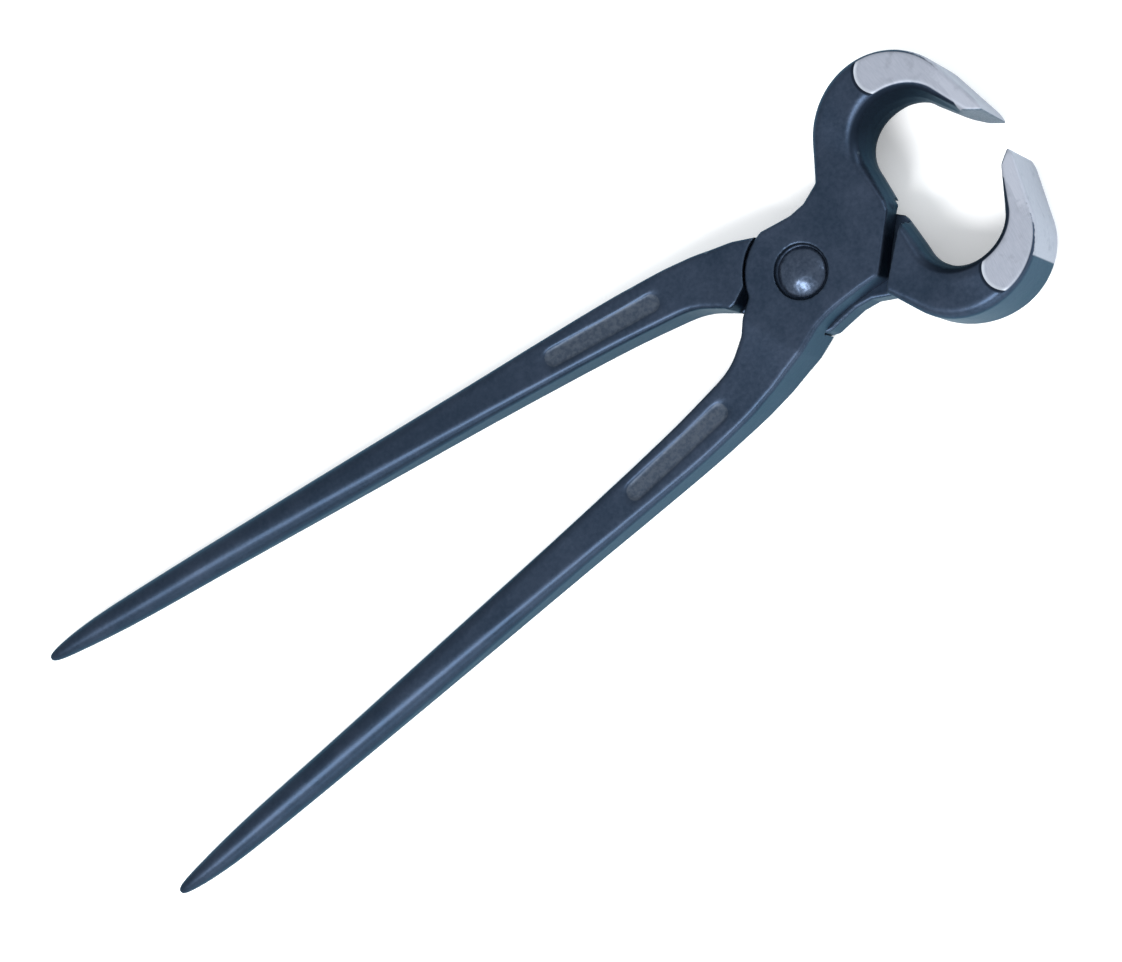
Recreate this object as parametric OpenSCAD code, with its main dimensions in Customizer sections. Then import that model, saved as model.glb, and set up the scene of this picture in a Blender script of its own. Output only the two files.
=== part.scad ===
// End cutting nippers, carpenter's pattern, of the 250 mm class, in millimetres.
// Two forged levers of one shape cross at a half-lap joint and turn on a rivet.
// The long way of the tool is X with the jaws at +X, the back face of the joint lies on Z = 0,
// and the rivet stands on the Z axis.

/* [Joint] */
// Thickness of the joint through both levers
joint_t = 15; // [13:0.2:17]
// Radius of the round boss that each lever has about the rivet
boss_r = 12.5; // [11.8:0.1:13.4]
// Half the width of the waist between boss and jaw
waist_h = 10.8; // [10.4:0.1:12]
// Distance from the rivet's axis to the slanting shoulder of the lap
shoulder_d = 16.6; // [15.8:0.1:17.2]
// Gap between the shoulder and the other lever's wall at the nose when the jaws are shut
shoulder_gap = 0.4; // [0.3:0.05:0.8]
// Gap between a boss and the ledge of the other lever that goes round it
boss_gap = 0.25; // [0.2:0.05:0.6]
// Gap between the two flat lap faces
lap_gap = 0.1; // [0.04:0.02:0.3]
// Distance from the rivet's axis to the crotch of the handles
crotch_x = 18.4; // [17:0.2:20]
// Rounding of the forged edges at the joint
joint_round = 1; // [0.6:0.1:1.6]
// Angle between shut jaws and the jaws as they lie at rest, in degrees
rest_opening = 11; // [6:0.5:14]
// Widest angle that the jaws open from shut, in degrees
full_opening = 47; // [40:1:50]

/* [Rivet] */
// Radius of the rivet's shank
shank_r = 4; // [3.2:0.1:4.6]
// Running clearance between the shank and the bores, on the radius
shank_gap = 0.05; // [0.03:0.01:0.1]
// Radius of the domed head
head_r = 5.2; // [4.9:0.1:5.7]
// Height that the dome stands above the lever's face
head_rise = 1; // [0.5:0.1:1.6]
// Width of the ring-shaped space between the head and its seat's wall
head_moat = 0.7; // [0.4:0.05:1]
// Depth of the seat that the head is sunk into
head_seat = 1.2; // [0.8:0.1:2]
// Radius of the flush tail at the back face
tail_r = 5.6; // [5.2:0.1:6.4]
// Depth of the countersink that holds the tail
tail_depth = 1.6; // [1.2:0.1:2.4]

/* [Jaws] */
// Distance from the rivet's axis to the cutting edges
jaw_reach = 50; // [48:0.2:52]
// Length of the cutting edges, across the ground sides of the jaws
jaw_w = 19.8; // [18:0.2:24]
// Distance from the rivet's axis to the widest place of the mouth
mouth_x = 33.4; // [32.4:0.1:34]
// Distance from the tool's middle line to the centre of the mouth's round
mouth_y = 7.7; // [7:0.1:8]
// Length of the mouth's round from its widest place towards the joint
mouth_root_l = 10.05; // [9.6:0.05:10.8]
// Length of the mouth's round from its widest place towards the edge
mouth_tip_l = 11.5; // [10.8:0.1:12]
// Height of the mouth's round from its centre to its crown
mouth_h = 9.8; // [8.8:0.1:10]
// How far the wall of the mouth swells out between its two edges
mouth_swell = 2.3; // [1.2:0.1:2.6]
// Thickness of the jaw at its crown, along the wall's edges
jaw_wall = 9.1; // [8.8:0.1:10.8]
// How far the centre of the back's round lies nearer to the joint than the mouth's
back_shift = 1.3; // [0.4:0.1:1.6]
// How far the centre of the back's round lies farther out than the mouth's
back_lift = 3.6; // [3:0.1:4]
// Length of the back's round from its centre towards the joint
back_root_l = 16.5; // [15.6:0.1:17.2]
// Length of the back's round from its centre towards the edge
back_tip_l = 16.6; // [15.8:0.1:17.4]
// How far the cheek swells out between the back's round and the cutting edge
cheek_swell = 0.4; // [0.3:0.05:1]
// Rounding of the forged edges of the jaw
jaw_round = 2.2; // [1.6:0.1:2.6]
// Depth to which the sides of the jaw are ground down
grind_depth = 0.6; // [0.3:0.05:1]
// Length of the bevel inside the cutting edge, at the sides of the jaw
bevel_l = 3; // [2.4:0.1:4]
// Angle of the bevel to the long way of the tool, in degrees
bevel_angle = 41; // [37:1:43]
// Thickness that is left at the cutting edge
edge_t = 0.3; // [0.2:0.05:0.6]
// Gap that is left between the cutting edges when the jaws are shut
edge_gap = 0.06; // [0.02:0.01:0.2]

/* [Handles] */
// Distance from the rivet's axis to the tip of a handle
handle_reach = 197.4; // [180:0.2:220]
// Distance from the tool's middle line to the axis of a handle when shut
handle_y = 12.2; // [11.6:0.1:12.6]
// Width of a handle where the grip starts
handle_w = 10; // [9.8:0.1:11.2]
// Thickness of a handle where the grip starts
handle_t = 10.6; // [9.6:0.1:11.6]
// Length of the sunk oblong panel on a handle
panel_l = 29.5; // [20:0.5:32]
// Width of the panel
panel_w = 4.7; // [3:0.1:5.6]
// Depth of the panel
panel_depth = 0.5; // [0.3:0.05:0.8]
// Distance from the rivet's axis to the middle of the panel
panel_x = 44.7; // [42:0.1:50]

/* [Hidden] */

steel_blue = [0.20, 0.25, 0.33];
rivet_blue = [0.17, 0.21, 0.28];

// Sides of the rivet and its bores, and facets of one rounded corner of a lever's section
round_sides = 64;
corner_facets = 5;
// Steps along the two rounds of the jaw
jaw_steps = 14;
// One overrun serves every cut
overrun = joint_t;
lap_t = joint_t / 2;
forged_w = jaw_w + 2 * grind_depth;

// The slanting shoulder stands at this angle to the tool's middle line, and the other lever's wall
// across the gap at a steeper one
shoulder_angle = 43.5;
wall_angle = 51;
shoulder_n = [sin(shoulder_angle), -cos(shoulder_angle)];
wall_n = [sin(wall_angle), -cos(wall_angle)];

// A lever is described shut, with its jaw at +Y and its handle at -Y, about the lap's plane.
// Its left edge runs from the cutting edge over the crown and round the boss to the handle,
// and its right edge from the cutting edge round the mouth and along the shoulder.
// A round is given by its centre and its lengths towards joint, edge and crown.
mouth_c = [mouth_x, mouth_y];
mouth_ls = [mouth_root_l, mouth_tip_l, mouth_h];
back_c = mouth_c + [-back_shift, back_lift];
back_ls = [back_root_l, back_tip_l, mouth_h + jaw_wall - back_lift];
edge_y = edge_gap / 2;
tip_in = [jaw_reach - edge_t, edge_y];
tip_out = [jaw_reach, edge_y];
bevel_way = [-cos(bevel_angle), sin(bevel_angle)];
bevel_in = tip_in + bevel_l * bevel_way;

// Where the jaw's root meets waist and mouth. The waist is a share of its half width along, and the
// nose lies back by a share of the mouth's length and past the middle line by one of the waist's.
root_share = 1.16;
nose_share = 0.11;
nose_drop_share = 0.2;
shoulder_head_share = 0.985;
waist_p = [root_share * waist_h, waist_h];
nose_p = [mouth_x - (1 + nose_share) * mouth_root_l, -nose_drop_share * waist_h];

function between(a, b, t) = a + (b - a) * t;
function on_round(c, l, a) = c + [(cos(a) > 0 ? l[1] : l[0]) * cos(a), l[2] * sin(a)];
// Angle at which the line from p meets a round on its edge side, or with side -1 on its joint side
function tangent_angle(p, c, l, side) =
    let (d = [(p[0] - c[0]) / (side > 0 ? l[1] : l[0]), (p[1] - c[1]) / l[2]],
         a = atan2(d[1], d[0]) + side * acos(1 / norm(d)))
    side > 0 ? a : (a + 360) % 360;
function shoulder_at(x) = [x, (x * shoulder_n[0] - shoulder_d) / -shoulder_n[1]];
function shoulder_across(y) = [(shoulder_d - y * shoulder_n[1]) / shoulder_n[0], y];

back_from = tangent_angle(tip_out, back_c, back_ls, 1);
back_to = tangent_angle(waist_p, back_c, back_ls, -1);
mouth_from = tangent_angle(bevel_in, mouth_c, mouth_ls, 1);
mouth_to = tangent_angle(nose_p, mouth_c, mouth_ls, -1);
bevel_out = between(tip_out, on_round(back_c, back_ls, back_from), bevel_in[1] / back_c[1])
    + [cheek_swell, 0];

// A ring of a lever: left point, right point, half depth, rounding, swell of the right side.
// The jaw keeps its whole depth up to the first share of its rounds and comes down to the lap's
// at the second one. The third one is the share of its swell that the mouth's wall has at the bevel.
deep_share = 0.38;
root_end_share = 1;
bevel_swell_share = 0.5;
root_steps_share = [0.35, 0.75];
root_swell_share = 0.5;
function eased(s) = s * s * (3 - 2 * s);
function jaw_half(t) =
    between(forged_w / 2, lap_t, eased(max(0, (t - deep_share) / (root_end_share - deep_share))));
jaw_rings = concat(
    [[tip_out, tip_in, forged_w / 2, jaw_round, 0],
     [bevel_out, bevel_in, forged_w / 2, jaw_round, bevel_swell_share * mouth_swell]],
    [for (i = [0 : jaw_steps]) let (t = i / jaw_steps)
        [on_round(back_c, back_ls, between(back_from, back_to, t)),
         on_round(mouth_c, mouth_ls, between(mouth_from, mouth_to, t)),
         jaw_half(t), jaw_round, mouth_swell]],
    [for (s = root_steps_share)
        [between(on_round(back_c, back_ls, back_to), waist_p, s),
         between(on_round(mouth_c, mouth_ls, mouth_to), nose_p, s),
         lap_t, between(jaw_round, joint_round, s), between(1, root_swell_share, s) * mouth_swell]]);

// Rings of the lap. The left edge leaves the waist at these shares of its half width, and of the
// way out to the boss, and then goes round the boss. The right one runs down the shoulder and
// along the lower side, in shares of the waist's half width.
waist_shares = [[0.83, 0], [0.475, 0], [0.158, 0.45]];
boss_angles = [98, 119, 141, 164];
lower_shares = [[0.5, -1], [0, -0.99], [-0.44, -1.04]];
shoulder_foot_share = 1.06;
shoulder_head = shoulder_at(shoulder_head_share * nose_p[0]);
shoulder_foot = shoulder_across(-shoulder_foot_share * waist_h);
lap_left = concat(
    [for (w = waist_shares) [w[0] * waist_h, between(waist_h, boss_r, w[1])]],
    [for (a = boss_angles) boss_r * [cos(a), sin(a)]]);
lap_right = concat(
    [for (i = [0 : 3]) between(shoulder_head, shoulder_foot, i / 3)],
    [for (w = lower_shares) w * waist_h]);
lap_rings = [for (i = [0 : len(lap_left) - 1]) 
    [lap_left[i], lap_right[i], lap_t, joint_round, 0]];

// Rings of the handle. The one at the ledge is given in shares of crotch_x. The first two columns
// of the others are shares of the way from the crotch to the tip, at the left and the right edge.
// Then come the middle's place across the tool, as a share of handle_y, the width and the
// thickness, as shares of handle_w and handle_t, and the rounding, as a share of half that.
ledge_shares = [[-0.864, 0.044], [-0.571, -0.717]];
handle_shares = [
    [0, -0.016, -0.65, 1.245, 1.34, 0.15],
    [0.0125, 0.005, -0.734, 1.198, 1.27, 0.16],
    [0.0277, 0.0277, -0.816, 1.112, 1.2, 0.18],
    [0.0467, 0.0467, -0.873, 1.058, 1.13, 0.2],
    [0.0793, 0.0793, -0.911, 1.034, 1.06, 0.22],
    [0.128, 0.128, -0.95, 1, 1, 0.25],
    [0.199, 0.199, -0.972, 0.946, 0.965, 0.3],
    [0.335, 0.335, -0.988, 0.86, 0.925, 0.42],
    [0.471, 0.471, -0.997, 0.826, 0.88, 0.6],
    [0.607, 0.607, -1.004, 0.788, 0.81, 0.8],
    [0.742, 0.742, -1.009, 0.728, 0.73, 0.94],
    [0.851, 0.851, -1.004, 0.653, 0.65, 0.98],
    [0.911, 0.911, -1.005, 0.566, 0.57, 0.98],
    [0.954, 0.954, -0.999, 0.436, 0.465, 0.98],
    [0.9815, 0.9815, -0.985, 0.312, 0.345, 0.98],
    [0.9957, 0.9957, -0.978, 0.205, 0.225, 0.98],
    [1, 1, -0.977, 0.11, 0.115, 0.98]];
function along(s) = -crotch_x - s * (handle_reach - crotch_x);
handle_rings = concat(
    [[ledge_shares[0] * crotch_x, ledge_shares[1] * crotch_x, lap_t, joint_round, 0]],
    [for (h = handle_shares) let (y = h[2] * handle_y, w = h[3] * handle_w / 2, t = h[4] * handle_t / 2)
        [[along(h[0]), y + w], [along(h[1]), y - w], min(lap_t, t), h[5] * t, 0]]);

rings = concat(jaw_rings, lap_rings, handle_rings);

// A ring is drawn as a rounded oblong that stands on the line from its left to its right point.
// Its rounding is at most this share of half a side. Its right side has three points more.
full_round_share = 0.98;
side_shares = [0.5, 0, -0.5];
function corner(a, b, r, q) =
    [for (i = [0 : corner_facets]) let (t = 90 * q + 90 * i / corner_facets)
        [(q == 0 || q == 3 ? 1 : -1) * (a - r) + r * cos(t), (q < 2 ? 1 : -1) * (b - r) + r * sin(t)]];
function ring_points(g) =
    let (m = (g[0] + g[1]) / 2, a = norm(g[0] - g[1]) / 2, u = (g[0] - g[1]) / (2 * a),
         r = min(g[3], full_round_share * a, full_round_share * g[2]),
         oblong = concat(corner(a, g[2], r, 0), corner(a, g[2], r, 1),
             [for (s = side_shares) [-a, s * (g[2] - r)]], corner(a, g[2], r, 2), corner(a, g[2], r, 3)))
    [for (p = oblong) let (x = p[0] - (p[0] < 0 ? g[4] * (1 - pow(p[1] / g[2], 2)) : 0))
        [m[0] + u[0] * x, m[1] + u[1] * x, p[1]]];

module forging() {
    n = 4 * (corner_facets + 1) + len(side_shares);
    last = len(rings) - 1;
    points = [for (g = rings) each ring_points(g)];
    polyhedron(points, concat(
        [[for (i = [n - 1 : -1 : 0]) i]],
        [for (k = [0 : last - 1]) for (i = [0 : n - 1]) let (a = k * n, b = a + n, j = (i + 1) % n)
            each [[a + i, b + j, b + i], [a + i, a + j, b + j]]],
        [[for (i = [0 : n - 1]) last * n + i]]));
}

// What the other lever's half of the lap takes out of this one, below the lap's plane. It goes
// from the slanting line round to the place where the ledge stops the other lever, fully open.
ledge_angle = 62;
stop_spare_angle = 1.5;
crotch_angle = 196;
crotch_cut_share = 1.3;
module lap_cut() {
    line_n = [wall_n[0], -wall_n[1]];
    line_p = (shoulder_head * wall_n + shoulder_gap) * line_n;
    run = handle_reach * [-line_n[1], line_n[0]];
    stop = -ledge_angle - full_opening - stop_spare_angle;
    far_x = -crotch_cut_share * crotch_x;
    translate([0, 0, -overrun]) linear_extrude(overrun + lap_gap / 2) {
        polygon([[0, 0], line_p + run, line_p - run, handle_reach * [cos(stop), sin(stop)]]);
        polygon([
            [0, 0], boss_r * [cos(crotch_angle), sin(crotch_angle)] - [0, boss_gap],
            [ledge_shares[0][0] * crotch_x, -ledge_shares[0][1] * crotch_x - boss_gap],
            [far_x, 0], [far_x, waist_h], [0, waist_h]]);
    }
    translate([0, 0, -overrun])
        cylinder(r = boss_r + boss_gap, h = overrun + lap_gap / 2, $fn = round_sides);
}

// The bevel is ground flat, so it is longest where the mouth's wall swells most
module bevel_cut() {
    translate([0, 0, -overrun]) linear_extrude(2 * overrun)
        polygon([tip_in, tip_in + mouth_tip_l * bevel_way, tip_in - [mouth_tip_l, 0]]);
}

// The sides of the jaw are ground flat from a round-ended line at the crown to the edge.
// The corners of the ground field are shares of jaw_reach, outwards and towards the edge.
grind_angle = 66;
grind_turn = 4;
grind_r_share = 0.53;
grind_shares = [[-0.185, 0.185], [-0.556, 0.556], [0.185, 0.74]];
module grind_cut() {
    c = on_round((back_c + mouth_c) / 2, (back_ls + mouth_ls) / 2, grind_angle);
    u = [cos(grind_angle - grind_turn), sin(grind_angle - grind_turn)];
    w = [u[1], -u[0]];
    grind_r = grind_r_share * jaw_wall;
    for (side = [0, 1]) mirror([0, 0, side]) translate([0, 0, jaw_w / 2]) {
        translate(c) cylinder(r = grind_r, h = overrun, $fn = round_sides);
        linear_extrude(overrun) polygon([
            c - u * grind_r, for (g = grind_shares) c + jaw_reach * (g[0] * u + g[1] * w),
            c + u * grind_r]);
    }
}

// A sunk oblong with round ends on both sides of the handle, laid along its tapering face
panel_y_share = 0.925;
panel_turn = 1.8;
function handle_half(x) = lookup(x, [for (g = handle_rings) [-g[1][0], g[2]]]);
module panel_cut() {
    z_near = handle_half(panel_x - panel_l / 2);
    z_far = handle_half(panel_x + panel_l / 2);
    tilt = atan2(z_near - z_far, panel_l);
    straight = panel_l - panel_w;
    for (side = [0, 1]) mirror([0, 0, side])
        translate([-panel_x, -panel_y_share * handle_y, (z_near + z_far) / 2 - panel_depth])
            rotate([0, -tilt, panel_turn]) {
                translate([-straight / 2, -panel_w / 2, 0]) cube([straight, panel_w, overrun]);
                for (end = [-1, 1]) translate([end * straight / 2, 0, 0])
                    cylinder(d = panel_w, h = overrun, $fn = round_sides);
            }
}

module lever() {
    difference() {
        forging();
        lap_cut();
        bevel_cut();
        grind_cut();
        panel_cut();
        translate([0, 0, -overrun])
            cylinder(r = shank_r + shank_gap, h = 2 * overrun, $fn = round_sides);
        children();
    }
}

module front_lever() {
    color(steel_blue) translate([0, 0, lap_t]) rotate([0, 0, rest_opening / 2]) lever()
        translate([0, 0, lap_t - head_seat])
            cylinder(r = head_r + head_moat, h = overrun, $fn = round_sides);
}

module back_lever() {
    color(steel_blue) translate([0, 0, lap_t]) rotate([180, 0, -rest_opening / 2]) lever()
        translate([0, 0, lap_t - tail_depth - shank_gap])
            cylinder(r1 = shank_r + shank_gap, r2 = tail_r + shank_gap, h = tail_depth + 2 * shank_gap,
                $fn = round_sides);
}

// The rivet's head is a dome on a straight rim, its tail a cone that ends flush
rim_share = 0.25;
dome_steps = 8;
module rivet() {
    seat_z = joint_t - head_seat + lap_gap;
    rim_z = seat_z + rim_share * head_seat;
    dome_h = joint_t + head_rise - rim_z;
    dome_r = (pow(head_r, 2) + pow(dome_h, 2)) / (2 * dome_h);
    dome_angle = asin(head_r / dome_r);
    color(rivet_blue) rotate_extrude($fn = round_sides) polygon(concat(
        [[0, 0], [tail_r, 0], [shank_r, tail_depth], [shank_r, seat_z], [head_r, seat_z]],
        [for (i = [0 : dome_steps]) let (a = dome_angle * (1 - i / dome_steps))
            [dome_r * sin(a), rim_z + dome_r * (cos(a) - cos(dome_angle))]]));
}

back_lever();
front_lever();
rivet();
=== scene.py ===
# %% [markdown]
# # End cutting nippers
# This notebook dresses a pair of carpenter's end cutting nippers: two forged levers of one shape that
# cross at a lap joint and turn on one domed rivet. The solids that move in the physics model are loaded
# first. They carry the true sizes. Over them go finer levers and a finer rivet, with the soft edges of a
# forging, the ground sides of the jaws and the dark skin of hardened steel.

# %% The frame to build on
import math
import bmesh
import bpy
from mathutils import Matrix, Vector


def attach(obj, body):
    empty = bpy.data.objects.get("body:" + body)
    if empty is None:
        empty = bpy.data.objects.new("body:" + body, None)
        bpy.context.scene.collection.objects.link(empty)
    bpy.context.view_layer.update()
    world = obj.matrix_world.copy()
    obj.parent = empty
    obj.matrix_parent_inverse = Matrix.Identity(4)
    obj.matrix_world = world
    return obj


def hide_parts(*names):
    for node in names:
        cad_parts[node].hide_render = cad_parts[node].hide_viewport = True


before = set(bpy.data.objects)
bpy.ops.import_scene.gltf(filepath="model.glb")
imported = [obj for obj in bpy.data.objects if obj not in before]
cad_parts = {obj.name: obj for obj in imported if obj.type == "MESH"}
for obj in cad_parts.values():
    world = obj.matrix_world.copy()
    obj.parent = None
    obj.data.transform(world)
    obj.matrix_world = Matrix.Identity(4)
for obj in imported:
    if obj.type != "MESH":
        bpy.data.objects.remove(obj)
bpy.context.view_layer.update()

MM = 0.001

# %% [markdown]
# ## How a lever is drawn
# Real levers start as a bar that is hammered between two dies, so every section across the bar is a
# rounded oblong. A lever could be modelled from a box with a subdivision surface, but its curves would
# then drift away from the measured solid. Here the bar is drawn as a row of rings instead: each ring is a
# line from the left edge of the lever to its right edge, with a depth and a rounding. Extruding from ring
# to ring gives the blank, and the cuts of the real smith's shop follow one by one.
# A lever is drawn shut and lying about the plane of its lap, with its jaw at +Y. Lengths are in mm.

# %% Sizes of a lever
joint_t, boss_r, waist_h = 15, 12.5, 10.8
shoulder_d, shoulder_gap, boss_gap, lap_gap = 16.6, 0.4, 0.25, 0.1
shoulder_angle, wall_angle = math.radians(43.5), math.radians(51)
crotch_x, handle_reach, handle_y, handle_w, handle_t = 18.4, 197.4, 12.2, 10, 10.6
jaw_reach, jaw_w, jaw_wall, jaw_round, joint_round = 50, 19.8, 9.1, 2.2, 1
mouth_swell, grind_depth, cheek_swell = 2.3, 0.6, 0.4
bevel_l, bevel_angle, edge_t, edge_gap = 3, math.radians(41), 0.3, 0.06
lap_t, forged_w = joint_t / 2, jaw_w + 2 * grind_depth
rest_opening, full_opening = 11, 47
rest_turn = math.radians(rest_opening / 2)
mouth_c, mouth_ls = Vector((33.4, 7.7)), (10.05, 11.5, 9.8)
back_shift, back_lift = -1.3, 3.6
back_c = mouth_c + Vector((back_shift, back_lift))
back_ls = (16.5, 16.6, mouth_ls[2] + jaw_wall - back_lift)
# The jaw's root runs from the waist on the outside to the nose of the lap on the inside
waist_p = Vector((1.16 * waist_h, waist_h))
nose_p = Vector((mouth_c.x - 1.11 * mouth_ls[0], -0.2 * waist_h))
shoulder_n = Vector((math.sin(shoulder_angle), -math.cos(shoulder_angle)))
wall_n = Vector((math.sin(wall_angle), -math.cos(wall_angle)))
print("jaw wall", jaw_wall, "mm, handle", round(handle_reach - crotch_x, 1), "mm long from the crotch")


# %% Curves of a lever
def between(a, b, t):
    """The value that lies the share t of the way from a to b."""
    return a + (b - a) * t


def heading(degrees):
    """The way in plan at an angle from +X."""
    turn = math.radians(degrees)
    return Vector((math.cos(turn), math.sin(turn)))


def on_round(centre, lengths, angle):
    """A point of an egg-shaped round, whose lengths go towards the joint, the edge and the crown."""
    along = lengths[1] if math.cos(angle) > 0 else lengths[0]
    return centre + Vector((along * math.cos(angle), lengths[2] * math.sin(angle)))


def tangent_angle(point, centre, lengths, side):
    """Where the line from a point meets the round, on its edge side (1) or its joint side (-1)."""
    away = point - centre
    away = Vector((away.x / (lengths[1] if side > 0 else lengths[0]), away.y / lengths[2]))
    angle = math.atan2(away.y, away.x) + side * math.acos(1 / away.length)
    return angle if side > 0 else angle % math.tau


def eased(s):
    """A soft start and a soft stop."""
    s = min(1, max(0, s))
    return s * s * (3 - 2 * s)


def smooth_rows(rows, places, steps):
    """Rows of numbers at given places, drawn out into smooth curves with some steps between rows."""
    slopes = []
    for i in range(len(rows)):
        a, b = max(i - 1, 0), min(i + 1, len(rows) - 1)
        slopes.append((rows[b] - rows[a]) / (places[b] - places[a]))
    drawn = []
    for i in range(len(rows) - 1):
        gap = places[i + 1] - places[i]
        for k in range(steps):
            s = k / steps
            h = (2 * s**3 - 3 * s**2 + 1, s**3 - 2 * s**2 + s, 3 * s**2 - 2 * s**3, s**3 - s**2)
            drawn.append(rows[i] * h[0] + slopes[i] * (gap * h[1])
                         + rows[i + 1] * h[2] + slopes[i + 1] * (gap * h[3]))
    return drawn + [rows[-1]]


def ring(left, right, half, rounding, swell=0):
    """One ring: its left and right point, half its depth, its rounding, and the swell of its right side."""
    return Vector((left[0], left[1], right[0], right[1], half, rounding, swell))


# %% Rings of the jaw
edge_y = edge_gap / 2
tip_in, tip_out = Vector((jaw_reach - edge_t, edge_y)), Vector((jaw_reach, edge_y))
bevel_way = Vector((-math.cos(bevel_angle), math.sin(bevel_angle)))
bevel_in = tip_in + bevel_l * bevel_way
back_from = tangent_angle(tip_out, back_c, back_ls, 1)
back_to = tangent_angle(waist_p, back_c, back_ls, -1)
mouth_from = tangent_angle(bevel_in, mouth_c, mouth_ls, 1)
mouth_to = tangent_angle(nose_p, mouth_c, mouth_ls, -1)
cheek = on_round(back_c, back_ls, back_from)
bevel_out = between(tip_out, cheek, bevel_in.y / back_c.y) + Vector((cheek_swell, 0))
jaw_rings = [ring(tip_out, tip_in, forged_w / 2, jaw_round),
             ring(bevel_out, bevel_in, forged_w / 2, jaw_round, 0.5 * mouth_swell)]
jaw_steps, thins_from = 44, 0.38
for i in range(jaw_steps + 1):
    t = i / jaw_steps
    jaw_rings.append(ring(on_round(back_c, back_ls, between(back_from, back_to, t)),
                          on_round(mouth_c, mouth_ls, between(mouth_from, mouth_to, t)),
                          between(forged_w / 2, lap_t, eased((t - thins_from) / (1 - thins_from))),
                          jaw_round, mouth_swell))
for s in (0.2, 0.4, 0.6, 0.8):
    jaw_rings.append(ring(between(on_round(back_c, back_ls, back_to), waist_p, s),
                          between(on_round(mouth_c, mouth_ls, mouth_to), nose_p, s), lap_t,
                          between(jaw_round, joint_round, s), mouth_swell * between(1, 0.5, s)))
print(len(jaw_rings), "rings of the jaw, from its edge to its root")

# %% Rings of the lap
# Along the waist: the place as a share of the waist, and how far it has come out to the boss
waist_shares = ((0.83, 0), (0.475, 0), (0.158, 0.45))
boss_angles = (98, 108, 118, 128, 137, 146, 155, 164)
lap_left = [Vector((x * waist_h, between(waist_h, boss_r, out))) for x, out in waist_shares]
lap_left += [boss_r * heading(angle) for angle in boss_angles]
shoulder_x = 0.985 * nose_p.x
shoulder_head = Vector((shoulder_x, (shoulder_x * shoulder_n.x - shoulder_d) / -shoulder_n.y))
foot_y = -1.06 * waist_h
shoulder_foot = Vector(((shoulder_d - foot_y * shoulder_n.y) / shoulder_n.x, foot_y))
foot_shares = ((0.7, -1.01), (0.5, -1), (0.2, -0.988), (-0.05, -0.99), (-0.25, -1.01), (-0.44, -1.04))
lap_right = [between(shoulder_head, shoulder_foot, i / 4) for i in range(5)]
lap_right += [waist_h * Vector(share) for share in foot_shares]
lap_rings = [ring(a, b, lap_t, joint_round) for a, b in zip(lap_left, lap_right)]
print(len(lap_rings), "rings of the lap")

# %% Rings of the handle
# Place along the left and right edge, middle across the tool, width, thickness, rounding: all as shares
handle_shares = [
    (0, -0.016, -0.65, 1.245, 1.34, 0.15),
    (0.0125, 0.005, -0.734, 1.198, 1.27, 0.16),
    (0.0277, 0.0277, -0.816, 1.112, 1.2, 0.18),
    (0.0467, 0.0467, -0.873, 1.058, 1.13, 0.2),
    (0.0793, 0.0793, -0.911, 1.034, 1.06, 0.22),
    (0.128, 0.128, -0.95, 1, 1, 0.25),
    (0.199, 0.199, -0.972, 0.946, 0.965, 0.3),
    (0.335, 0.335, -0.988, 0.86, 0.925, 0.42),
    (0.471, 0.471, -0.997, 0.826, 0.88, 0.6),
    (0.607, 0.607, -1.004, 0.788, 0.81, 0.8),
    (0.742, 0.742, -1.009, 0.728, 0.73, 0.94),
    (0.851, 0.851, -1.004, 0.653, 0.65, 0.98),
    (0.911, 0.911, -1.005, 0.566, 0.57, 0.98),
    (0.954, 0.954, -0.999, 0.436, 0.465, 0.98),
    (0.9815, 0.9815, -0.985, 0.312, 0.345, 0.98),
    (0.9957, 0.9957, -0.978, 0.205, 0.225, 0.98),
    (1, 1, -0.977, 0.11, 0.115, 0.98)]


def along_handle(share):
    """How far back from the rivet a share of the handle's length reaches."""
    return -crotch_x - share * (handle_reach - crotch_x)


handle_rows = []
for left, right, middle, width, thickness, rounding in handle_shares:
    y, w, t = middle * handle_y, width * handle_w / 2, thickness * handle_t / 2
    handle_rows.append(ring((along_handle(left), y + w), (along_handle(right), y - w),
                            min(lap_t, t), rounding * t))
ledge = ring((-0.864 * crotch_x, 0.044 * crotch_x), (-0.571 * crotch_x, -0.717 * crotch_x),
             lap_t, joint_round)
handle_rings = [ledge] + smooth_rows(handle_rows, [row[1] for row in handle_shares], 4)
print(len(handle_rings), "rings of the handle")


# %% [markdown]
# ## From rings to a blank
# A sweep is the plainest way to turn rings into a body: a filled circle is moved onto the first ring, then
# the face at its end is extruded and moved onto the next ring, and so on. Each vertex carries the number
# of its spoke, so that it lands on the same spoke of the next ring.

# %% The sweep
def deselect():
    """An operator acts on all that is selected, so nothing may be."""
    for thing in bpy.context.selected_objects:
        thing.select_set(False)


def sweep(name, sections):
    """Extrudes a filled circle from one closed section to the next. Sections are lists of points in mm."""
    deselect()
    bpy.ops.mesh.primitive_circle_add(vertices=len(sections[0]), radius=MM, fill_type="NGON")
    body = bpy.context.object
    body.name = name
    bpy.ops.object.mode_set(mode="EDIT")
    drawn = bmesh.from_edit_mesh(body.data)
    spoke = drawn.verts.layers.int.new("spoke")
    for i, vertex in enumerate(drawn.verts):
        vertex[spoke] = i
        vertex.co = MM * sections[0][i]
    for section in sections[1:]:
        bmesh.update_edit_mesh(body.data)
        bpy.ops.mesh.extrude_region_move()
        drawn = bmesh.from_edit_mesh(body.data)
        spoke = drawn.verts.layers.int["spoke"]
        for vertex in drawn.verts:
            if vertex.select:
                vertex.co = MM * section[vertex[spoke]]
    bmesh.update_edit_mesh(body.data)
    bpy.ops.mesh.select_all(action="SELECT")
    bpy.ops.mesh.normals_make_consistent(inside=False)
    bpy.ops.object.mode_set(mode="OBJECT")
    return body


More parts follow.
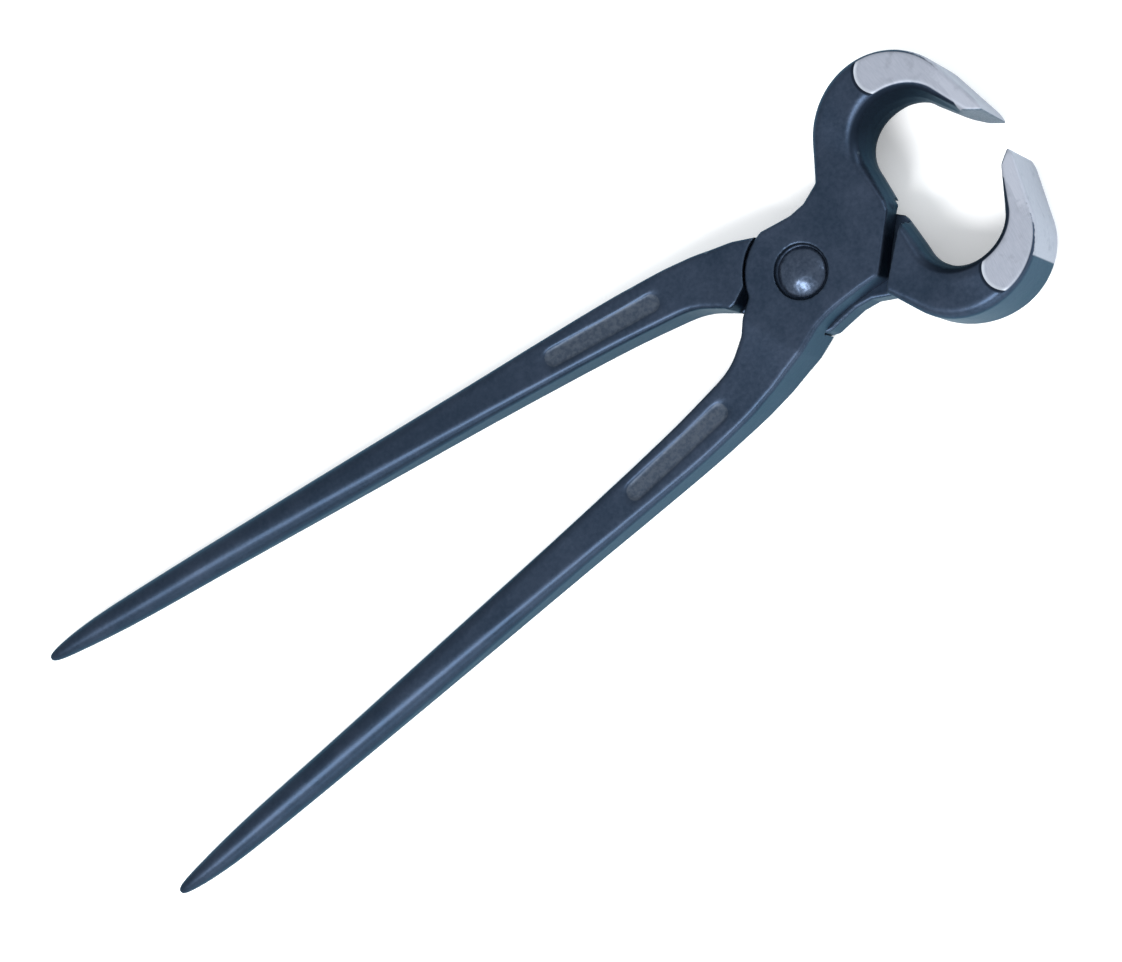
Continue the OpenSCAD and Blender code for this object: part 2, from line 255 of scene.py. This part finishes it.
# %% The points of a ring
corner_facets, fullest_round = 7, 0.98


def section_of(row):
    """The rounded oblong that stands on a ring's line, with three more points on its right side."""
    left, right, half, rounding, swell = Vector(row[0:2]), Vector(row[2:4]), row[4], row[5], row[6]
    middle, a = (left + right) / 2, (left - right).length / 2
    across = (left - right).normalized()
    r = min(rounding, fullest_round * a, fullest_round * half)
    oblong = []
    for quarter, (sx, sz) in enumerate(((1, 1), (-1, 1), (-1, -1), (1, -1))):
        for i in range(corner_facets + 1):
            turn = math.radians(90 * (quarter + i / corner_facets))
            oblong.append((sx * (a - r) + r * math.cos(turn), sz * (half - r) + r * math.sin(turn)))
        if quarter == 1:
            oblong += [(-a, s * (half - r)) for s in (0.5, 0, -0.5)]
    points = []
    for x, z in oblong:
        x -= swell * (1 - (z / half) ** 2) if x < 0 else 0
        points.append(Vector((middle.x + across.x * x, middle.y + across.y * x, z)))
    return points


# %% [markdown]
# ## Cutting the blank
# On the real tool the forged blank is milled, drilled and ground. Each of those cuts is a solid of its own
# here, taken away with a Boolean modifier that is applied at once. The ground side of the jaw and the
# sunk panel get cutters with sloping walls, because a grinding wheel and a stamping die leave sloping
# steps, and a sloping step catches a line of light.

# %% Cutters
round_sides = 96
round_turns = [math.tau * i / round_sides for i in range(round_sides)]


def prism(name, outline, low, high, flare=None):
    """A plate of the given outline from low to high. A flare is (height, outline at that height)."""
    levels = [(outline, low), (outline, high)]
    if flare:
        levels = [(outline, low), (flare[1], flare[0]), (flare[1], high)]
    return sweep(name, [[Vector((p[0], p[1], z)) for p in points] for points, z in levels])


def turned(name, profile):
    """A round solid about the rivet's axis, from a profile of radii and heights."""
    return sweep(name, [[Vector((r * math.cos(t), r * math.sin(t), z)) for t in round_turns]
                        for r, z in profile])


def disc(name, radius, low, high, low_radius=None):
    """A round plate or cone about the rivet's axis."""
    return turned(name, [(low_radius or radius, low), (radius, high)])


def cut(body, cutter):
    """Takes the cutter away from the body, and removes the cutter."""
    deselect()
    bpy.context.view_layer.objects.active = body
    body.select_set(True)
    boolean = body.modifiers.new("cut", "BOOLEAN")
    boolean.operation, boolean.solver, boolean.object = "DIFFERENCE", "EXACT", cutter
    bpy.ops.object.modifier_apply(modifier=boolean.name)
    bpy.data.objects.remove(cutter)


# %% What the other lever takes away
low, lap_z = -2 * joint_t, lap_gap / 2
line_n = Vector((wall_n.x, -wall_n.y))
line_p = (shoulder_head.dot(wall_n) + shoulder_gap) * line_n
run = handle_reach * Vector((-line_n.y, line_n.x))
stop_angle, stop_room = 62, 1.5
stop_p = handle_reach * heading(-(stop_angle + full_opening + stop_room))
crotch_p = boss_r * heading(196) - Vector((0, boss_gap))
far_x = -1.3 * crotch_x


def lap_cutters():
    """The three plates that make room for the other lever's half of the joint."""
    return [prism("lap_line", [(0, 0), line_p + run, line_p - run, stop_p], low, lap_z),
            prism("lap_crotch", [(0, 0), crotch_p, (ledge[0], -ledge[1] - boss_gap), (far_x, 0),
                                 (far_x, waist_h), (0, waist_h)], low, lap_z),
            disc("lap_boss", boss_r + boss_gap, low, lap_z)]


# %% The bevel inside the cutting edge
def bevel_cutter():
    """What the wheel takes off under the edge: most in the middle, where the mouth's wall swells."""
    reach = mouth_ls[1]
    return prism("bevel", [tip_in, tip_in - Vector((reach, 0)), tip_in + reach * bevel_way], low, -low)


# %% The ground sides of the jaw
grind_turn = math.radians(66)
grind_c = on_round((back_c + mouth_c) / 2, [(a + b) / 2 for a, b in zip(back_ls, mouth_ls)], grind_turn)
grind_u = heading(62)
grind_w = Vector((grind_u.y, -grind_u.x))
grind_r, grind_slope = 0.53 * jaw_wall, 0.5
# The far corners of the field, along and across it, as shares of the jaw's reach
grind_corners = ((-0.185, 0.185), (-0.556, 0.556), (0.185, 0.74))


def grind_outline(widening):
    """The ground field in plan: a round end at the crown, then everything up to the edge."""
    r = grind_r + widening
    half_circle = [grind_c + r * (math.cos(t) * grind_u - math.sin(t) * grind_w)
                   for t in [math.pi * i / 24 for i in range(25)]]
    return half_circle + [grind_c + jaw_reach * (a * grind_u + b * grind_w) for a, b in grind_corners]


def grind_cutter(side):
    """The field that is ground away, on the front side (1) or the back side (-1)."""
    face = side * jaw_w / 2
    return prism("ground", grind_outline(0), face, side * 2 * joint_t,
                 flare=(face + side * grind_depth, grind_outline(grind_slope)))


# %% The sunk panels on the handle
panel_l, panel_w, panel_depth, panel_x, panel_y = 29.5, 4.7, 0.5, 44.7, 0.925 * handle_y
panel_slope, panel_turn = 0.35, math.radians(1.8)


def half_depth_at(x):
    """Half the handle's thickness at a distance behind the rivet."""
    for a, b in zip(handle_rows, handle_rows[1:]):
        if -a[2] <= x <= -b[2]:
            return between(a[4], b[4], (x + a[2]) / (a[2] - b[2]))
    raise ValueError("the panel runs off the handle")


def capsule(length, width):
    """A lying oblong with round ends."""
    r, straight = width / 2, (length - width) / 2
    quarter = [math.pi * i / 12 - math.pi / 2 for i in range(13)]
    right = [(straight + r * math.cos(t), r * math.sin(t)) for t in quarter]
    return right + [(-x, -y) for x, y in right]


def panel_cutter(side):
    """A shallow oblong with sloping walls, laid along the handle's tapering face."""
    near, far = half_depth_at(panel_x - panel_l / 2), half_depth_at(panel_x + panel_l / 2)
    foot = capsule(panel_l - 2 * panel_slope, panel_w - 2 * panel_slope)
    cutter = prism("panel", foot, 0, side * joint_t, flare=(side * panel_depth, capsule(panel_l, panel_w)))
    tilt = math.atan2(near - far, panel_l)
    cutter.rotation_euler = (0, -side * tilt, panel_turn)
    cutter.location = MM * Vector((-panel_x, -panel_y, side * ((near + far) / 2 - panel_depth)))
    deselect()
    cutter.select_set(True)
    bpy.context.view_layer.objects.active = cutter
    bpy.ops.object.transform_apply(location=True, rotation=True, scale=True)
    return cutter


print("panel:", panel_l, "by", panel_w, "mm,", panel_depth, "mm deep")

# %% [markdown]
# ## Soft edges
# No edge of a used forging is razor sharp except the one that cuts. A Bevel modifier would need clean
# faces along every cut, which Booleans don't leave. A voxel Remesh walks over the whole surface instead
# with one small cell size, and rounds every edge by about half a cell. The handles are long and plain, so
# they are squeezed to two fifths of their length before it and stretched back after it: they get longer
# cells and leave the small ones to the jaws. A light Smooth follows, away from the thin cutting edge.

# %% Both levers
shank_r, shank_gap = 4, 0.05
head_r, head_moat, head_seat, head_rise = 5.2, 0.7, 1.2, 1
tail_r, tail_depth = 5.6, 1.6
cell, squeezed_from, squeezed_to = 0.31, -20, 0.4
# The stretch behind the cutting edge that isn't smoothed
crisp_l = 1.5


def stretch_handle(body, share):
    """Scales what lies behind the joint along the handle, and leaves the rest as it is."""
    deselect()
    bpy.context.view_layer.objects.active = body
    body.select_set(True)
    bpy.ops.object.mode_set(mode="EDIT")
    bpy.ops.mesh.select_mode(type="VERT")
    bpy.ops.mesh.select_all(action="DESELECT")
    drawn = bmesh.from_edit_mesh(body.data)
    for vertex in drawn.verts:
        vertex.select_set(vertex.co.x < squeezed_from * MM)
    drawn.select_flush(True)
    bmesh.update_edit_mesh(body.data)
    bpy.ops.transform.resize(value=(share, 1, 1), center_override=(squeezed_from * MM, 0, 0))
    bpy.ops.object.mode_set(mode="OBJECT")


def finish_surface(body):
    """Remeshes the lever and softens it everywhere but at its cutting edge."""
    stretch_handle(body, squeezed_to)
    remesh = body.modifiers.new("even", "REMESH")
    remesh.mode, remesh.voxel_size = "VOXEL", cell * MM
    bpy.ops.object.modifier_apply(modifier=remesh.name)
    stretch_handle(body, 1 / squeezed_to)
    soft = body.vertex_groups.new(name="soft")
    inner = [v.index for v in body.data.vertices if v.co.x < (jaw_reach - crisp_l) * MM]
    soft.add(inner, 1, "REPLACE")
    smooth = body.modifiers.new("soft", "SMOOTH")
    smooth.factor, smooth.iterations, smooth.vertex_group = 0.5, 2, "soft"
    bpy.ops.object.modifier_apply(modifier=smooth.name)
    bpy.ops.object.shade_smooth()
    body.vertex_groups.clear()


def lever(name, seat):
    """One lever, shut and about the lap's plane, with the seat for its side of the rivet."""
    body = sweep(name, [section_of(row) for row in jaw_rings + lap_rings + handle_rings])
    cutters = lap_cutters() + [bevel_cutter(), grind_cutter(1), grind_cutter(-1)]
    cutters += [panel_cutter(1), panel_cutter(-1)]
    cutters += [disc("bore", shank_r + shank_gap, low, -low), seat]
    for cutter in cutters:
        cut(body, cutter)
    finish_surface(body)
    print(name, "has", len(body.data.polygons), "faces")
    return body


def place(body, turn):
    """Puts a lever that was drawn shut where it lies at rest, and its place into its mesh."""
    body.data.transform(Matrix.Translation((0, 0, lap_t * MM)) @ turn)
    body.data.update()


front = lever("front_forging", disc("head_seat", head_r + head_moat, lap_t - head_seat, 2 * joint_t))
place(front, Matrix.Rotation(rest_turn, 4, "Z"))
tail_low, tail_high = lap_t - tail_depth - shank_gap, lap_t + shank_gap
back = lever("back_forging", disc("tail_seat", tail_r + shank_gap, tail_low, tail_high,
                                  low_radius=shank_r + shank_gap))
place(back, Matrix.Rotation(-rest_turn, 4, "Z") @ Matrix.Rotation(math.pi, 4, "X"))

# %% [markdown]
# ## The rivet
# The rivet is a plain pin with a low domed head, set in a seat with a little room around it, and a tail
# that is hammered into a countersink and filed flush. Its outline is a short list of radii and heights,
# so the same sweep that made the levers climbs it ring by ring.

# %% The rivet's outline
seat_z = joint_t - head_seat + lap_gap
rim_z = seat_z + 0.25 * head_seat
dome_h = joint_t + head_rise - rim_z
dome_r = (head_r**2 + dome_h**2) / (2 * dome_h)
dome_turn = math.asin(head_r / dome_r)
chamfer = 0.1
profile = [(tail_r - 1.5 * chamfer, 0), (tail_r, chamfer), (shank_r, tail_depth), (shank_r, seat_z),
           (head_r - chamfer, seat_z), (head_r, seat_z + chamfer)]
dome_rings = 21
for i in range(dome_rings):
    turn = dome_turn * (1 - i / (dome_rings - 0.7))
    profile.append((dome_r * math.sin(turn), rim_z + dome_r * (math.cos(turn) - math.cos(dome_turn))))
rivet = turned("domed_rivet", profile)
deselect()
rivet.select_set(True)
bpy.context.view_layer.objects.active = rivet
bpy.ops.object.shade_smooth_by_angle(angle=math.radians(35))
print("rivet head", 2 * head_r, "mm across,", head_rise, "mm proud")

# %% [markdown]
# ## Writing finishes as sums
# A finish is a shader with patterns behind it. Wiring dozens of Math nodes by hand is slow to read, so a
# small class wraps a node's output and lets Python's own operators add the nodes: `1 - mask` is one node.

# %% Sums of surfaces
class Value:
    """A number that varies over a surface. Python's operators on it add Math nodes."""

    def __init__(self, finish, socket):
        self.finish, self.socket = finish, socket

    def join(self, operation, *others):
        return self.finish.add("ShaderNodeMath", {"operation": operation}, dict(enumerate([self, *others])))

    def __add__(self, other):
        return self.join("ADD", other)

    def __radd__(self, other):
        return self.join("ADD", other)

    def __sub__(self, other):
        return self.join("SUBTRACT", other)

    def __rsub__(self, other):
        return self.finish.add("ShaderNodeMath", {"operation": "SUBTRACT"}, {0: other, 1: self})

    def __mul__(self, other):
        return self.join("MULTIPLY", other)

    def __rmul__(self, other):
        return self.join("MULTIPLY", other)

    def __abs__(self):
        return self.join("ABSOLUTE")

    def most(self, other):
        return self.join("MAXIMUM", other)

    def ramp(self, start, end):
        """0 up to start, 1 from end on, and a straight climb between them."""
        return self.finish.add("ShaderNodeMapRange", {}, {0: self, 1: start, 2: end, 3: 0.0, 4: 1.0})


class Finish:
    """A material that is being made. add() adds any node and gives its output back as a Value."""

    def __init__(self, name, **constants):
        self.material = bpy.data.materials.new(name)
        self.material.use_nodes = True
        self.nodes, self.links = self.material.node_tree.nodes, self.material.node_tree.links
        self.shader = self.nodes["Principled BSDF"]
        for socket, value in constants.items():
            self.shader.inputs[socket.replace("_", " ")].default_value = value

    def fill(self, socket, value):
        if isinstance(value, Value):
            self.links.new(value.socket, socket)
        else:
            socket.default_value = value

    def add(self, kind, settings, inputs, output=0):
        node = self.nodes.new(kind)
        for key, value in settings.items():
            setattr(node, key, value)
        for key, value in inputs.items():
            self.fill(node.inputs[key], value)
        return Value(self, node.outputs[output])

    def feed(self, socket, value):
        self.fill(self.shader.inputs[socket], value)

    def noise(self, at, size, detail=2.0, roughness=0.5):
        """Soft blots of about the given size, in the unit of the coordinates."""
        return self.add("ShaderNodeTexNoise", {}, {"Vector": at, "Scale": 1 / size, "Detail": detail,
                                                   "Roughness": roughness})

    def mix(self, share, first, second):
        """A colour the given share of the way from the first to the second."""
        return self.add("ShaderNodeMix", {"data_type": "RGBA"}, {0: share, 6: first, 7: second}, output=2)

    def bump(self, height, strength, distance, normal=None):
        inputs = {"Height": height, "Strength": strength, "Distance": distance}
        if normal:
            inputs["Normal"] = normal
        return self.add("ShaderNodeBump", {}, inputs)


# %% [markdown]
# ## The skin of the levers
# Hardened steel leaves the furnace with a thin blue-black scale, slightly blotched. Its raised edges are
# painted brighter, partly as wear and partly as a painted highlight, and its creases, the crown of the mouth
# and the step round each ground field get painted shade. The sides of the jaws, the cheeks near the edge and
# the bevels are ground afterwards and show bare steel with fine wheel marks; the cheeks are painted lighter
# as painted light, the bevels darker as painted shade, and the round end of each side gets a painted
# highlight. One finish
# can show all of it: the place on the lever, turned back to the way the lever was drawn, says where the
# wheel has been.

# %% Where the wheel has been
def place_on_lever(finish, turn_x, turn_z):
    """Coordinates of a lever as it was drawn, in mm, and their three parts."""
    turn = Matrix.Rotation(turn_z, 4, "Z") @ Matrix.Rotation(turn_x, 4, "X")
    shift = turn @ Vector((0, 0, -lap_t))
    seen = finish.add("ShaderNodeTexCoord", {}, {}, output="Object")
    at = finish.add("ShaderNodeMapping", {"vector_type": "POINT"},
                    {"Vector": seen, "Location": shift, "Rotation": turn.to_euler(), "Scale": (1 / MM,) * 3})
    return [at] + [finish.add("ShaderNodeSeparateXYZ", {}, {0: at}, output=k) for k in range(3)]


def beyond(x, y, point, way):
    """How far a place lies beyond a point, along a way in plan, in mm."""
    return x * way.x + y * way.y - way.dot(point)


def distance_in_plan(x, y, point):
    """How far a place lies from a point in plan, in mm."""
    dx, dy = x - point.x, y - point.y
    return (dx * dx + dy * dy).join("SQRT")


cheek_way = Vector((0.54, -0.84)).normalized()
cheek_from = Vector((44.8, 21.9))
# An oval that runs along the middle of the jaw's wall and parts its outside from the mouth
wall_middle = (13.3, 13.8)
bevel_normal = Vector((bevel_way.y, -bevel_way.x))


def ground_masks(x, y, z, uneven):
    """Ground side, cheek and bevel of the jaw, a painted highlight just inside the round end of the side and
    painted shade on the sloping wall just outside it.
    """
    face = jaw_w / 2
    on_face = abs(z).ramp(face - 0.22, face - 0.08)
    inside = (grind_r - distance_in_plan(x, y, grind_c)).most(beyond(x, y, grind_c, grind_w))
    side = inside.ramp(-0.1, 0.0) * on_face
    # Painted highlight just inside the round end of the ground field
    rim_highlight = inside.ramp(0.7, 0.0) * side
    # Painted shade on the sloping step just outside the ground field
    step_shade = inside.ramp(-0.8, -0.5) * inside.ramp(0.0, -0.12) * on_face * x.ramp(20, 21)
    ex, ey = (x - mouth_c.x) * (1 / wall_middle[0]), (y - mouth_c.y) * (1 / wall_middle[1])
    outer = (ex * ex + ey * ey).ramp(0.98, 1.02)
    past = beyond(x, y, cheek_from, cheek_way)
    flank = past.ramp(-0.15, 0.15) * outer * x.ramp(36, 37)
    left = abs(z) - past * 0.1 + uneven * 0.9
    flank = flank * left.ramp(face - 0.35, face - 0.65)
    on_bevel = abs(beyond(x, y, tip_in, bevel_normal)).ramp(0.35, 0.25)
    bevel = on_bevel * x.ramp(jaw_reach - 8, jaw_reach - 7.8)
    return side, flank, bevel, rim_highlight, step_shade


def panel_mask(x, y, z):
    """1 on the floor of a sunk panel, which has round ends."""
    across = y + panel_y + (x + panel_x) * math.tan(-panel_turn)
    past_end = (abs(x + panel_x) - (panel_l - panel_w) / 2).most(0)
    away = (across * across + past_end * past_end).join("SQRT")
    return away.ramp(panel_w / 2 - 0.3, panel_w / 2 - 0.5) * abs(z).ramp(2, 2.5)


# Half the width of the oval that marks the crown, between the mouth's two lengths
mouth_mean_l = 11


def mouth_shade_mask(x, y):
    """1 on the wall of the mouth about its crown, which is painted dark as shade."""
    across, up = (x - mouth_c.x) * (1 / mouth_mean_l), (y - mouth_c.y) * (1 / mouth_ls[2])
    return (across * across + up * up).ramp(1.1, 1.0) * y.ramp(9, 15) * x.ramp(46, 43)


# %% Colours of the levers
scale_dark, scale_pale = (0.0155, 0.025, 0.043, 1), (0.029, 0.040, 0.064, 1)
scale_far = (0.007, 0.013, 0.024, 1)
panel_grey = (0.055, 0.066, 0.084, 1)
# Raised edges: worn steel and a painted highlight
worn_and_highlight_blue = (0.11, 0.15, 0.19, 1)
# Painted shade for creases, the step round the ground field and the mouth's crown
hollow_shade_black = (0.004, 0.007, 0.014, 1)
steel_dark, steel_pale = (0.200, 0.215, 0.256, 1), (0.240, 0.252, 0.294, 1)
# Lighter grey painted on the cheek as painted light
flank_lit_grey = (0.31, 0.325, 0.375, 1)
smudge_grey = (0.13, 0.14, 0.165, 1)
# Dark blue painted on the bevel as painted shade
bevel_shade_blue = (0.036, 0.066, 0.094, 1)
# Colour of the painted highlight along the round end of the ground field
rim_highlight_grey = (0.46, 0.49, 0.54, 1)


# %% The forged and ground finish
def lever_finish(name, turn_x, turn_z):
    """The scale, its edges painted brighter as wear and highlight, its painted shade and the ground faces of
    one lever.
    """
    finish = Finish(name, Specular_Tint=(0.4, 0.54, 0.62, 1))
    at, x, y, z = place_on_lever(finish, turn_x, turn_z)
    blots = finish.noise(at, 9, detail=5.0, roughness=0.6)
    grain = finish.noise(at, 0.9, detail=3.0, roughness=0.6)
    side, flank, bevel, rim_highlight, step_shade = ground_masks(x, y, z, grain)
    ground = side.most(flank).most(bevel)
    panel = panel_mask(x, y, z)
    pores = finish.noise(at, 0.35, detail=2.0)
    scale = finish.mix((blots * 0.6 + grain * 0.4).ramp(0.36, 0.66), scale_dark, scale_pale)
    scale = finish.mix(x.ramp(-30, -90) * 0.35, scale, scale_far)
    scale = finish.mix(panel * (0.3 + 0.4 * grain.ramp(0.4, 0.62)), scale, panel_grey)
    edges = finish.add("ShaderNodeNewGeometry", {}, {}, output="Pointiness")
    patchy = 0.7 + 0.3 * finish.noise(at, 2.5, detail=4.0).ramp(0.4, 0.62)
    # Raised edges painted brighter, partly as wear and partly as a painted highlight
    rubbed_and_highlit = edges.ramp(0.53, 0.62) * x.ramp(-70, -45) * patchy
    skin = finish.mix(rubbed_and_highlit * 0.45, scale, worn_and_highlight_blue)
    # Painted shade: dark in concave creases, on the step round the ground field and on the crown of the
    # mouth
    hollow_shade = edges.ramp(0.48, 0.43).most(step_shade).most(mouth_shade_mask(x, y))
    skin = finish.mix(hollow_shade * 0.85, skin, hollow_shade_black)

    smudge = finish.noise(at, 3.2, detail=3.0, roughness=0.55).ramp(0.56, 0.72)
    marks_at = finish.add("ShaderNodeMapping", {}, {"Vector": at, "Rotation": (0, 0, math.radians(58)),
                                                    "Scale": (6, 0.5, 1.5)})
    marks = finish.noise(marks_at, 1, detail=3.0)
    bare = finish.mix(marks.ramp(0.3, 0.7), steel_dark, steel_pale)
    # The cheek's ground steel painted lighter, as painted light
    bare = finish.mix(flank * 0.42, bare, flank_lit_grey)
    bare = finish.mix(smudge * 0.4, bare, smudge_grey)
    # The bevel painted darker blue as painted shade, with the wheel marks in it
    bare = finish.mix(bevel * (0.6 + 0.3 * marks.ramp(0.4, 0.6)), bare, bevel_shade_blue)
    # Painted highlight along the round end of the ground field
    bare = finish.mix(rim_highlight * 0.6, bare, rim_highlight_grey)
    finish.feed("Base Color", finish.mix(ground, skin, bare))
    finish.feed("Metallic", 0.85 - ground * 0.4)
    finish.feed("Roughness", 0.31 + grain * 0.12 + blots * 0.08 + ground * 0.14 + panel * 0.1 + hollow_shade * 0.2)

    dents = finish.bump(finish.noise(at, 7, detail=2.0), 0.10, 0.5 * MM)
    rough = (grain * 0.7 + pores * 0.3) * (1 - ground * 0.8) + marks * (ground * 0.5)
    finish.feed("Normal", finish.bump(rough, 0.22, 0.12 * MM, normal=dents))
    return finish.material


def wear(piece, material):
    """Gives a piece one finish."""
    piece.data.materials.clear()
    piece.data.materials.append(material)


wear(front, lever_finish("forged_steel_front", 0, -rest_turn))
wear(back, lever_finish("forged_steel_back", math.pi, -rest_turn))

# %% [markdown]
# ## The rivet's finish
# The head is rounded by hammer blows and then polished a little by the thumb, so it is smoother than the
# levers and its highlight is small and clear.

# %% The rivet's finish, made
peened = Finish("peened_rivet", Specular_Tint=(0.45, 0.64, 0.76, 1))
seen = peened.add("ShaderNodeTexCoord", {}, {}, output="Object")
at = peened.add("ShaderNodeMapping", {}, {"Vector": seen, "Scale": (1 / MM,) * 3})
blows = peened.noise(at, 2.6, detail=1.5)
fine = peened.noise(at, 0.6, detail=3.0)
peened.feed("Base Color", peened.mix((blows * 0.5 + fine * 0.5).ramp(0.38, 0.62), (0.0265, 0.0375, 0.060, 1),
                                     (0.0455, 0.0595, 0.089, 1)))
peened.feed("Metallic", 0.85)
peened.feed("Roughness", 0.24 + fine * 0.12)
peened.feed("Normal", peened.bump(fine, 0.1, 0.1 * MM, normal=peened.bump(blows, 0.45, 0.6 * MM)))
wear(rivet, peened.material)

# %% [markdown]
# ## Joining looks and motion
# Each new piece rides on the body that carries its solid and stands for that solid, so the front lever
# turns about the rivet as the real one does.

# %% Pieces on their bodies
for piece, node, body, slot in ((front, "front_lever", "front_half", "forged_steel"),
                                (back, "back_lever", "back_half", "forged_steel"),
                                (rivet, "rivet", "back_half", "rivet_steel")):
    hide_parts(node)
    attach(piece, body)

# %% [markdown]
# ## A floor to lie on
# The tool lies on its jaws and on the ends of its handles, so its joint stands a little clear of the floor
# and the floor leans by about two degrees against the tool's own plane. The lean is measured from the
# lowest points of the jaws and of the handles.

# %% The floor
spots = [v.co for piece in (front, back) for v in piece.data.vertices]
jaw_foot = min((p for p in spots if p.x > 0), key=lambda p: p.z)
handle_from = -100 * MM
slope = min((p.z - jaw_foot.z) / (jaw_foot.x - p.x) for p in spots if p.x < handle_from)
lean = math.atan(slope)
deselect()
bpy.ops.mesh.primitive_plane_add(size=8, location=(0, 0, 0))
floor = bpy.context.object
floor.name = "floor"
floor.data.transform(Matrix.Translation((jaw_foot.x, 0, jaw_foot.z)) @ Matrix.Rotation(lean, 4, "Y"))
paper = Finish("plain_floor", Base_Color=(0.86, 0.865, 0.87, 1), Roughness=0.8,
               Specular_IOR_Level=0.1, Emission_Color=(1, 1, 1, 1), Emission_Strength=0.2)
wear(floor, paper.material)
print("the floor leans", round(math.degrees(lean), 2), "degrees")

# %% [markdown]
# ## Light
# A pale surround and a floor that glows a little, as a light table does, give the even brightness and the
# faint shadows of a studio tent. The key light stands high beyond the handles on the -Y side: it draws
# the bright line along the rounded edge of both handles and the spot on the rivet. A long light stands
# low on the same side and another beyond the jaws, and they brighten the walls that face them.

# %% Lights
world = bpy.data.worlds.new("studio")
bpy.context.scene.world = world
world.use_nodes = True
world.node_tree.nodes["Background"].inputs["Color"].default_value = (0.95, 0.98, 1, 1)
world.node_tree.nodes["Background"].inputs["Strength"].default_value = 1.1


def soft_light(name, where, towards, size, watts, colour):
    """A rectangular light that points from one place at another."""
    lamp = bpy.data.lights.new(name, "AREA")
    lamp.shape, lamp.size, lamp.size_y = "RECTANGLE", size[0], size[1]
    lamp.energy, lamp.color = watts, colour
    holder = bpy.data.objects.new(name, lamp)
    bpy.context.scene.collection.objects.link(holder)
    holder.location = where
    holder.rotation_euler = (Vector(towards) - Vector(where)).to_track_quat("-Z", "Y").to_euler()


soft_light("key", (-0.42, -0.42, 0.83), (-0.05, 0, 0), (0.42, 0.3), 12.5, (1, 1, 1))
soft_light("low_side", (-0.15, -0.75, 0.22), (-0.06, 0, 0), (0.9, 0.2), 3.2, (0.88, 0.98, 1))
soft_light("low_end", (0.75, -0.12, 0.28), (0.02, 0, 0), (0.4, 0.2), 2.6, (0.92, 0.98, 1))

# %% [markdown]
# ## The camera
# The camera looks down on the tool from its -Y side and from beyond the jaws, with the handles running to
# the lower left. Its place and its turn were worked out by fitting the solid's outline to the photograph.

# %% Camera
aim, distance = Vector((-70.06, -4.65, 7.3)) * MM, 722.6 * MM
back_way = Vector((0.2889, -0.24006, 0.92677)).normalized()
right_way = Vector((0.77907, -0.50366, -0.37332))
right_way = (right_way - right_way.dot(back_way) * back_way).normalized()
up_way = back_way.cross(right_way)
lens = bpy.data.cameras.new("camera")
lens.sensor_width, lens.lens = 36, 108.45
lens.clip_start, lens.clip_end = 0.01, 20
camera = bpy.data.objects.new("camera", lens)
bpy.context.scene.collection.objects.link(camera)
camera.matrix_world = (Matrix.Translation(aim + distance * back_way)
                       @ Matrix((right_way, up_way, back_way)).transposed().to_4x4())
bpy.context.scene.camera = camera
bpy.context.scene.view_settings.view_transform = "Standard"
print("camera", [round(v / MM) for v in camera.location], "mm")
